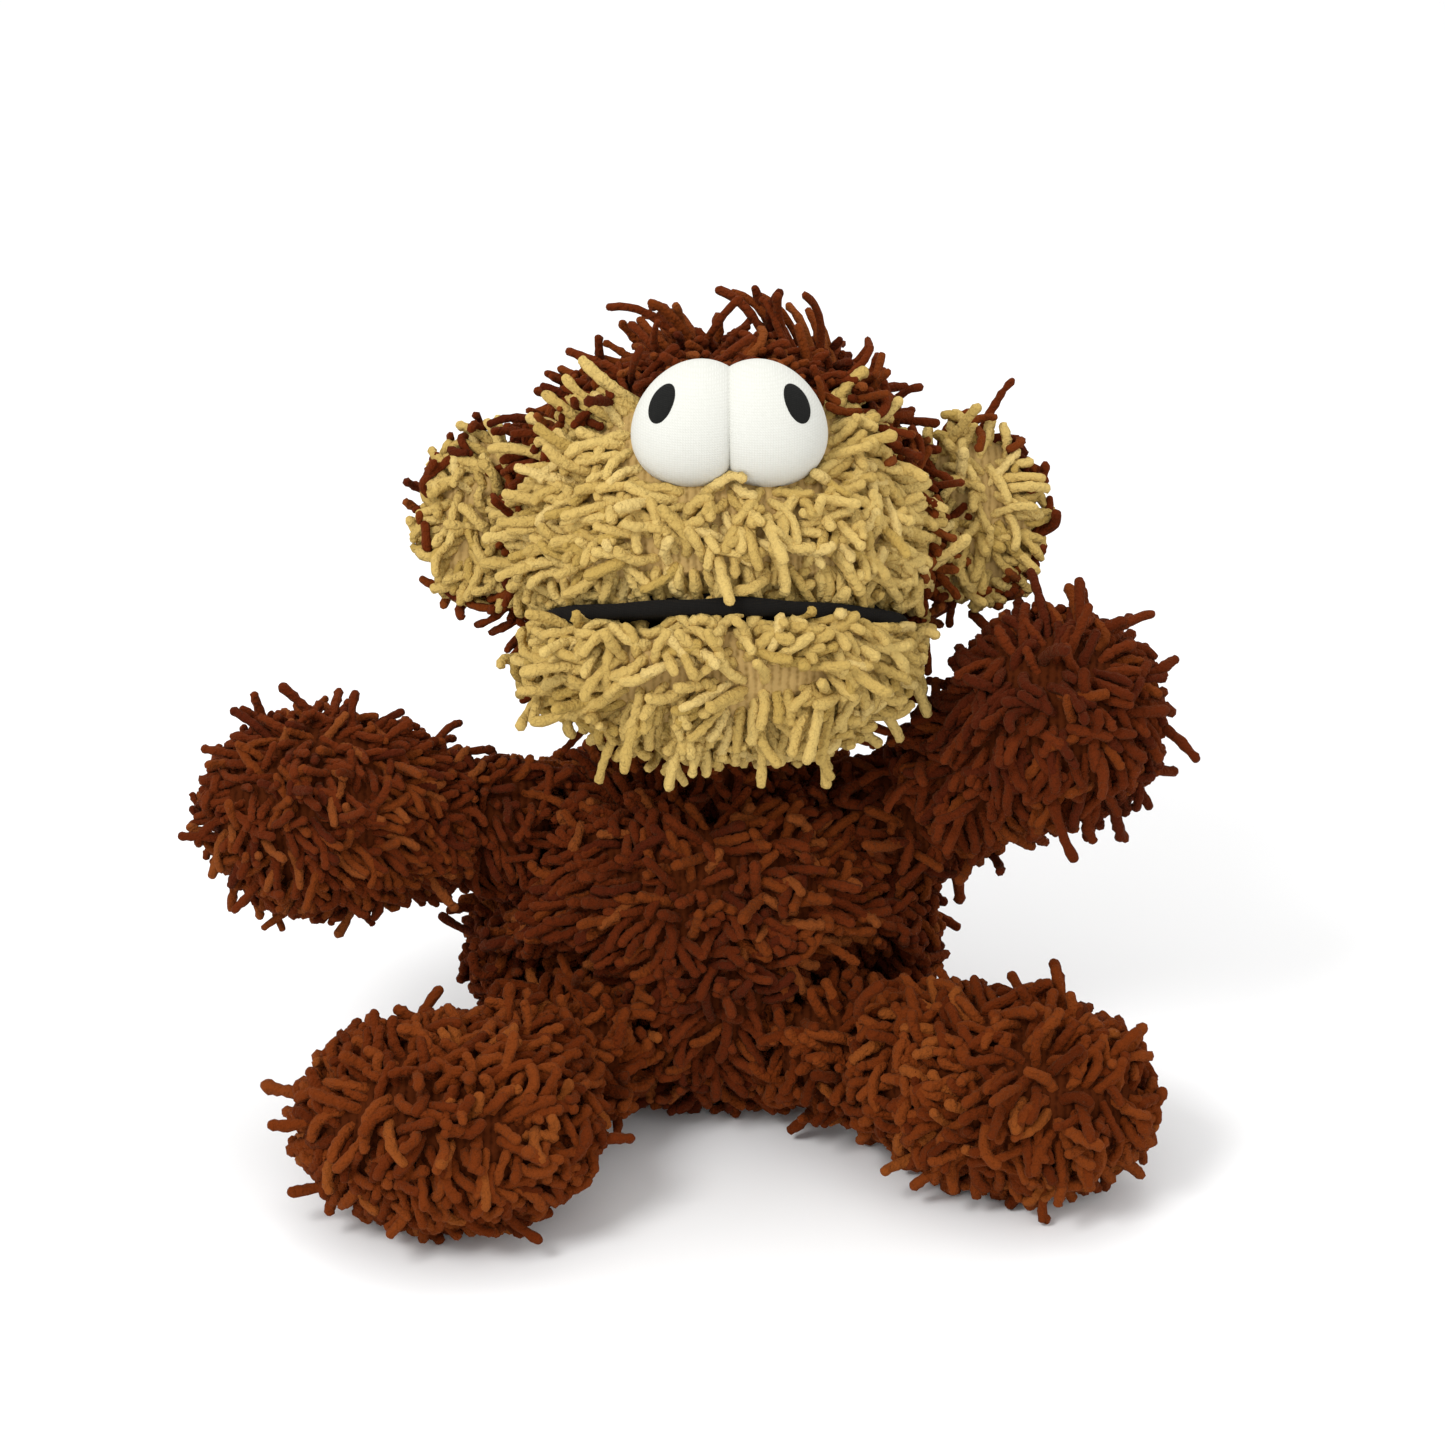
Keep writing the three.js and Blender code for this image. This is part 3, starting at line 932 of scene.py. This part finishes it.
LIP_BAND = {"z": -9.9, "half": 1.6, "from": -8, "to": 42}
CHIN_BAND = {"z": -43, "half": 1.8, "from": -45, "to": 32}
LIP_TOP, LIP_BOTTOM = -12, -20
CHIN_TOP = -26.8
ROW_FADE = 4
PARTING = 12
ROW_OUTWARDS = np.array([[0.8, 0, 0]])
ROW_DOWNWARDS = np.array([[0, 0, 0.2]])
TUFTS = np.array([[-8, -8, 56], [22, -8, 54], [31, -4, 50]]) * MM
TUFT_RADIUS = 6 * MM


def head_comb(x, y, z, reach):
    """A comb that runs away from a point in the head's frame."""
    return away_from(from_head(np.array([x, y, z]) * MM) / MM, reach)


def height_in_head(points):
    return to_head(points)[:, 2] / MM


def make_head_skin():
    """The head's skin, tan behind the face and brown everywhere else."""
    nodes = ["face_panel", "head_back_panel", "head_stuffing"]
    skin = skin_piece("head_skin", "head", "brown_pile", nodes, BROWN_BACKING_SHADED, seam=face_seam_distance)
    skin.data.materials.append(TAN_BACKING_SHADED)
    centres = np.array([polygon.center for polygon in skin.data.polygons])
    skin.data.polygons.foreach_set("material_index", face_side(centres).astype(np.int32))
    return skin


def make_cap(surface):
    """The brown yarn of the crown and the back of the head."""
    cap = Pile(
        head_comb(0, -10, 70, 30), BROWN, spacing=2.9, length=14.5, radius=1.3, layer=7,
        tousle=0.9, mess=1.0, curl=1.5, stray=0.16,
    )
    for side, sign in EYES.items():
        make_pile(
            f"head_{side}_pile", "head", surface,
            lambda p: ~face_side(p) & (sign * (p[:, 0] - HEAD_CENTRE.x) >= 0), cap, 20 + (sign > 0),
            avoid=lambda p: under_eyes(p) | in_mouth(p, "upper"), keep_out=[out_of_eyes],
        )


def make_tufts(surface):
    """The long strands that stand up from the crown."""
    tufts = Pile(
        along((0, 0, 1), 0.3), BROWN, spacing=3.4, length=21, spread=4, radius=1.3,
        mess=0.6, curl=1.6, stray=1,
    )
    middles = from_head(TUFTS)
    make_pile(
        "crown_tufts", "head", surface,
        lambda p: np.min([np.linalg.norm(p - middle, axis=1) for middle in middles], 0) < TUFT_RADIUS,
        tufts, 25, keep_out=[out_of_eyes],
    )


def make_face(surface):
    """The tan yarn of the upper muzzle, and under its bare seam the row that hangs over the mouth."""
    face = Pile(
        in_rows(head_comb(2, -60, 27, 24), 2, -12, -14), TAN, spacing=2.85, length=13, radius=1.65,
        layer=5, tousle=0.6, mess=0.55, stray=0.1,
    )
    make_pile(
        "face_pile", "head", surface, face_side, face, 22,
        avoid=lambda p: under_eyes(p) | in_band(p, LIP_BAND) | (height_in_head(p) < LIP_TOP),
        keep_out=[out_of_eyes],
    )
    lip = Pile(
        along(-HEAD_UP), TAN, spacing=2.8, length=13, spread=3, radius=1.7, layer=3,
        tousle=0.25, mess=0.25, curl=0.3, stray=0, lean=0.8,
    )
    make_pile(
        "upper_lip_pile", "head", surface,
        lambda p: face_side(p) & (height_in_head(p) < LIP_TOP) & (height_in_head(p) > LIP_BOTTOM),
        lip, 23, avoid=lambda p: in_mouth(p, "upper"),
    )


def make_jaw():
    """The jaw's skin and its yarn, which leaves a bare line across the chin."""
    skin = skin_piece(
        "jaw_skin", "jaw", "tan_pile", ["jaw_panel", "jaw_stuffing"], TAN_BACKING_SHADED,
        seam=lambda p: np.abs(height_in_head(p) - CHIN_BAND["z"]) * MM,
    )
    chin = Pile(
        in_rows(head_comb(2, -48, -24, 34), -36, -42, -20), TAN, spacing=2.85, length=13.5, radius=1.65,
        layer=5.5, tousle=0.7, mess=0.55, stray=0.08,
    )
    make_pile(
        "jaw_pile", "jaw", Surface(skin), lambda p: height_in_head(p) < CHIN_TOP, chin, 24,
        avoid=lambda p: in_band(p, CHIN_BAND) | in_mouth(p, "lower"),
    )


def make_head():
    surface = Surface(make_head_skin())
    make_cap(surface)
    make_face(surface)
    make_tufts(surface)
    make_jaw()


def make_ear(side, sign, seed):
    """A flat ear, tan in front and brown behind."""
    body = f"ear_{side}"
    nodes = [f"{body}_front", f"{body}_back"]
    skin = skin_piece(
        f"{body}_skin", body, "tan_pile", nodes, TAN_BACKING_SHADED, voxel=1.5 * MM, inset=1.6 * MM, fill=0.4
    )
    surface = Surface(skin)
    which = nearest_of(nodes)
    low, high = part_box(nodes[0])
    middle = np.array(low + high) / 2 / MM
    comb = mixed(away_from(middle, 20), along((sign, 0, -0.5), 0.6))
    front = Pile(comb, TAN, spacing=2.9, length=12, mess=0.6, layer=4, radius=1.55)
    back = Pile(comb, BROWN, length=14, mess=0.6, layer=5, radius=1.35)
    make_pile(f"{body}_front_pile", body, surface, lambda p: which(p)[0] == 0, front, seed)
    make_pile(f"{body}_back_pile", body, surface, lambda p: which(p)[0] == 1, back, seed + 1)


def make_eye(side, sign):
    """A stuffed cloth eye, flattened against the other one at the middle seam."""
    work = bmesh.new()
    bmesh.ops.create_uvsphere(work, u_segments=64, v_segments=40, radius=1)
    for vertex in work.verts:
        x, y, z = vertex.co
        across = x * (1 - EYE_NARROWS * z)
        point = Vector((across * EYE_RADII.x, y * EYE_RADII.y, z * EYE_RADII.z))
        inner = sign * point.x + EYE_SPREAD
        if inner < EYE_CREASE:
            inner = EYE_CREASE * math.exp((inner - EYE_CREASE) / EYE_CREASE)
        overlap = EYE_OVERLAP * (EYE_OVERLAP_FROM + z)
        point.x = sign * (inner - EYE_SPREAD - overlap)
        vertex.co = point
    mesh = bpy.data.meshes.new(f"eye_{side}")
    work.to_mesh(mesh)
    work.free()
    made = bpy.data.objects.new(f"eye_{side}_ball", mesh)
    bpy.context.scene.collection.objects.link(made)
    local = np.array([vertex.co for vertex in mesh.vertices]) + eye_centre(sign)
    mesh.vertices.foreach_set("co", from_head(local).ravel())
    mesh.update()
    mesh.polygons.foreach_set("use_smooth", [True] * len(mesh.polygons))
    mesh.materials.append(EYE_CLOTH)
    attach(made, "head")
    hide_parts(f"eye_{side}_cover", f"eye_{side}_stuffing")
    return made


PUPIL = {
    "across": 4.1 * MM,
    "up": 6.2 * MM,
    "thick": 0.6 * MM,
    "rim": 0.1,
    "lean": math.radians(14),
    "out": 0.62,
    "high": 0.26,
    "rings": 8,
    "spokes": 40,
    "back": -0.4,
    "start": 16 * MM,
}


def pupil_axes(sign):
    """The way a pupil looks, and its own right and up, leaning in towards the other eye."""
    look = unit(np.array([sign * PUPIL["out"], -1, PUPIL["high"]]))
    right = unit(np.cross(look, [0, 0, 1]))
    up = np.cross(right, look)
    turned = -sign * PUPIL["lean"]
    leaning_right = right * math.cos(turned) + up * math.sin(turned)
    leaning_up = up * math.cos(turned) - right * math.sin(turned)
    return look, leaning_right, leaning_up


def pupil_layer(surface, sign, height):
    """One face of a pupil: its middle, then its rings. height is None for the domed front."""
    look, right, up = pupil_axes(sign)
    centre = eye_centre(sign)[None]
    vertices = []
    for ring in range(PUPIL["rings"] + 1):
        share = ring / PUPIL["rings"]
        for spoke in range(PUPIL["spokes"] if ring else 1):
            angle = spoke * 2 * math.pi / PUPIL["spokes"]
            across = right * math.cos(angle) * PUPIL["across"]
            flat = (across + up * math.sin(angle) * PUPIL["up"]) * share
            place, normal = surface.nearest(from_head(centre + (look * PUPIL["start"] + flat)[None]))
            dome = math.sqrt(max(0.0, 1 - share**4)) * (1 - PUPIL["rim"]) + PUPIL["rim"]
            vertices.append(place[0] + normal[0] * PUPIL["thick"] * (dome if height is None else height))
    return vertices


def make_pupil(side, sign, eye):
    """A thin domed oval patch that follows the eye's surface."""
    surface = Surface(eye)
    vertices = pupil_layer(surface, sign, None) + pupil_layer(surface, sign, PUPIL["back"])
    rings, spokes = PUPIL["rings"], PUPIL["spokes"]
    each = 1 + rings * spokes
    rim = 1 + (rings - 1) * spokes
    faces = []
    for spoke in range(spokes):
        after = (spoke + 1) % spokes
        for base in (0, each):
            faces.append([base, base + 1 + spoke, base + 1 + after])
            for ring in range(rings - 1):
                start = base + 1 + ring * spokes
                faces.append([start + spoke, start + spokes + spoke, start + spokes + after, start + after])
        faces.append([rim + spoke, each + rim + spoke, each + rim + after, rim + after])
    made = new_object(f"eye_{side}_pupil_patch", vertices, faces)
    face_outwards(made.data)
    made.data.materials.append(PUPIL_FELT)
    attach(made, "head")
    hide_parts(f"eye_{side}_pupil")


# The two pads of lining, in millimetres in the head's frame: half is half a pad's thickness.
MOUTH = {
    "upper": {"body": "head", "z": -20.6, "half": 1.3, "across": 51.5, "forward": 44.5, "middle": 0},
    "lower": {"body": "jaw", "z": -24.4, "half": 2.4, "across": 55, "forward": 46.5, "middle": -8},
}
MOUTH_BACK = 5
MOUTH_RIM = 8
LINING_POINTS, LINING_ROWS = 96, 12
LIMP_THICKNESS, LIMP_HEIGHT = 0.4, 0.3


def limpness(across):
    """How the lining's edge waves, and with it the lining's height."""
    return 0.5 * np.sin(across / 9 + 1) + 0.35 * np.sin(across / 4.3)


def make_lining(which):
    """A D-shaped pad of black cloth with a full round edge, its straight edge at the mouth's hinge."""
    spec = MOUTH[which]
    middle = spec["middle"]
    back = math.asin((MOUTH_BACK - middle) / spec["forward"])
    turns = np.linspace(math.pi - back, 2 * math.pi + back, LINING_POINTS)
    outline = np.stack([spec["across"] * np.cos(turns), middle + spec["forward"] * np.sin(turns)], 1)
    centre = np.array([0, (MOUTH_BACK + middle - spec["forward"]) / 2])
    limp = limpness(outline[:, 0])
    vertices = []
    for row in range(LINING_ROWS + 1):
        tilt = math.pi * (row / LINING_ROWS - 0.5)
        ring = outline + unit(centre - outline) * (1 - math.cos(tilt)) * spec["half"]
        height = spec["z"] + math.sin(tilt) * (spec["half"] + LIMP_THICKNESS * limp) + LIMP_HEIGHT * limp
        vertices += np.column_stack([ring, height]).tolist()
    faces = []
    for row in range(LINING_ROWS):
        for point in range(LINING_POINTS):
            here = row * LINING_POINTS + point
            onward = row * LINING_POINTS + (point + 1) % LINING_POINTS
            faces.append([here, onward, onward + LINING_POINTS, here + LINING_POINTS])
    for row, sign in ((0, -1), (LINING_ROWS, 1)):
        hub = len(vertices)
        start = row * LINING_POINTS
        vertices.append([*centre, spec["z"] + sign * spec["half"]])
        for point in range(LINING_POINTS):
            faces.append([hub, start + (point + 1) % LINING_POINTS, start + point])
    made = new_object(f"mouth_cloth_{which}", from_head(np.array(vertices) * MM), faces)
    face_outwards(made.data)
    made.data.materials.append(LINING)
    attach(made, spec["body"])
    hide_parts(f"mouth_lining_{which}")


def face_outwards(mesh):
    """Turns every face of a closed mesh to the outside."""
    work = bmesh.new()
    work.from_mesh(mesh)
    bmesh.ops.recalc_face_normals(work, faces=work.faces)
    work.to_mesh(mesh)
    work.free()


# ---------------------------------------------------------------- the stage


def make_stage():
    """The camera at the photo's angle, three soft lights, a white room and a pale floor."""
    camera = bpy.data.objects.new("camera", bpy.data.cameras.new("camera"))
    bpy.context.scene.collection.objects.link(camera)
    back = Vector((0, -math.cos(CAMERA_ELEVATION), math.sin(CAMERA_ELEVATION)))
    camera.location = AIM + back * CAMERA_DISTANCE
    camera.rotation_euler = back.to_track_quat("Z", "Y").to_euler()
    camera.data.sensor_width = SENSOR_WIDTH
    camera.data.lens = SENSOR_WIDTH * CAMERA_DISTANCE / VIEW_WIDTH
    bpy.context.scene.camera = camera
    bpy.context.scene.view_settings.view_transform = "Standard"
    world = bpy.data.worlds.new("studio")
    bpy.context.scene.world = world
    world.use_nodes = True
    world.node_tree.nodes["Background"].inputs["Color"].default_value = (1, 1, 1, 1)
    world.node_tree.nodes["Background"].inputs["Strength"].default_value = 1.0
    for name, spec in LIGHTS.items():
        light = bpy.data.objects.new(name, bpy.data.lights.new(name, "AREA"))
        bpy.context.scene.collection.objects.link(light)
        light.data.shape = "DISK"
        light.data.size = spec["size"]
        light.data.energy = spec["power"]
        light.location = spec["place"]
        light.rotation_euler = (Vector(spec["place"]) - AIM).to_track_quat("Z", "Y").to_euler()
    corners = [(x * FLOOR_REACH, y * FLOOR_REACH, 0) for x, y in ((-1, -1), (1, -1), (1, 1), (-1, 1))]
    floor = new_object("floor", corners, [(0, 1, 2, 3)], smooth=False)
    material, _ = new_material("floor_paper", FLOOR_GREY, 0.9)
    floor.data.materials.append(material)


make_stage()
make_torso()
make_head()
make_ear("left", 1, 30)
make_ear("right", -1, 32)
for side, sign in EYES.items():
    make_pupil(side, sign, make_eye(side, sign))
for which in MOUTH:
    make_lining(which)
for name, limb in LIMBS.items():
    make_limb(name, **limb)
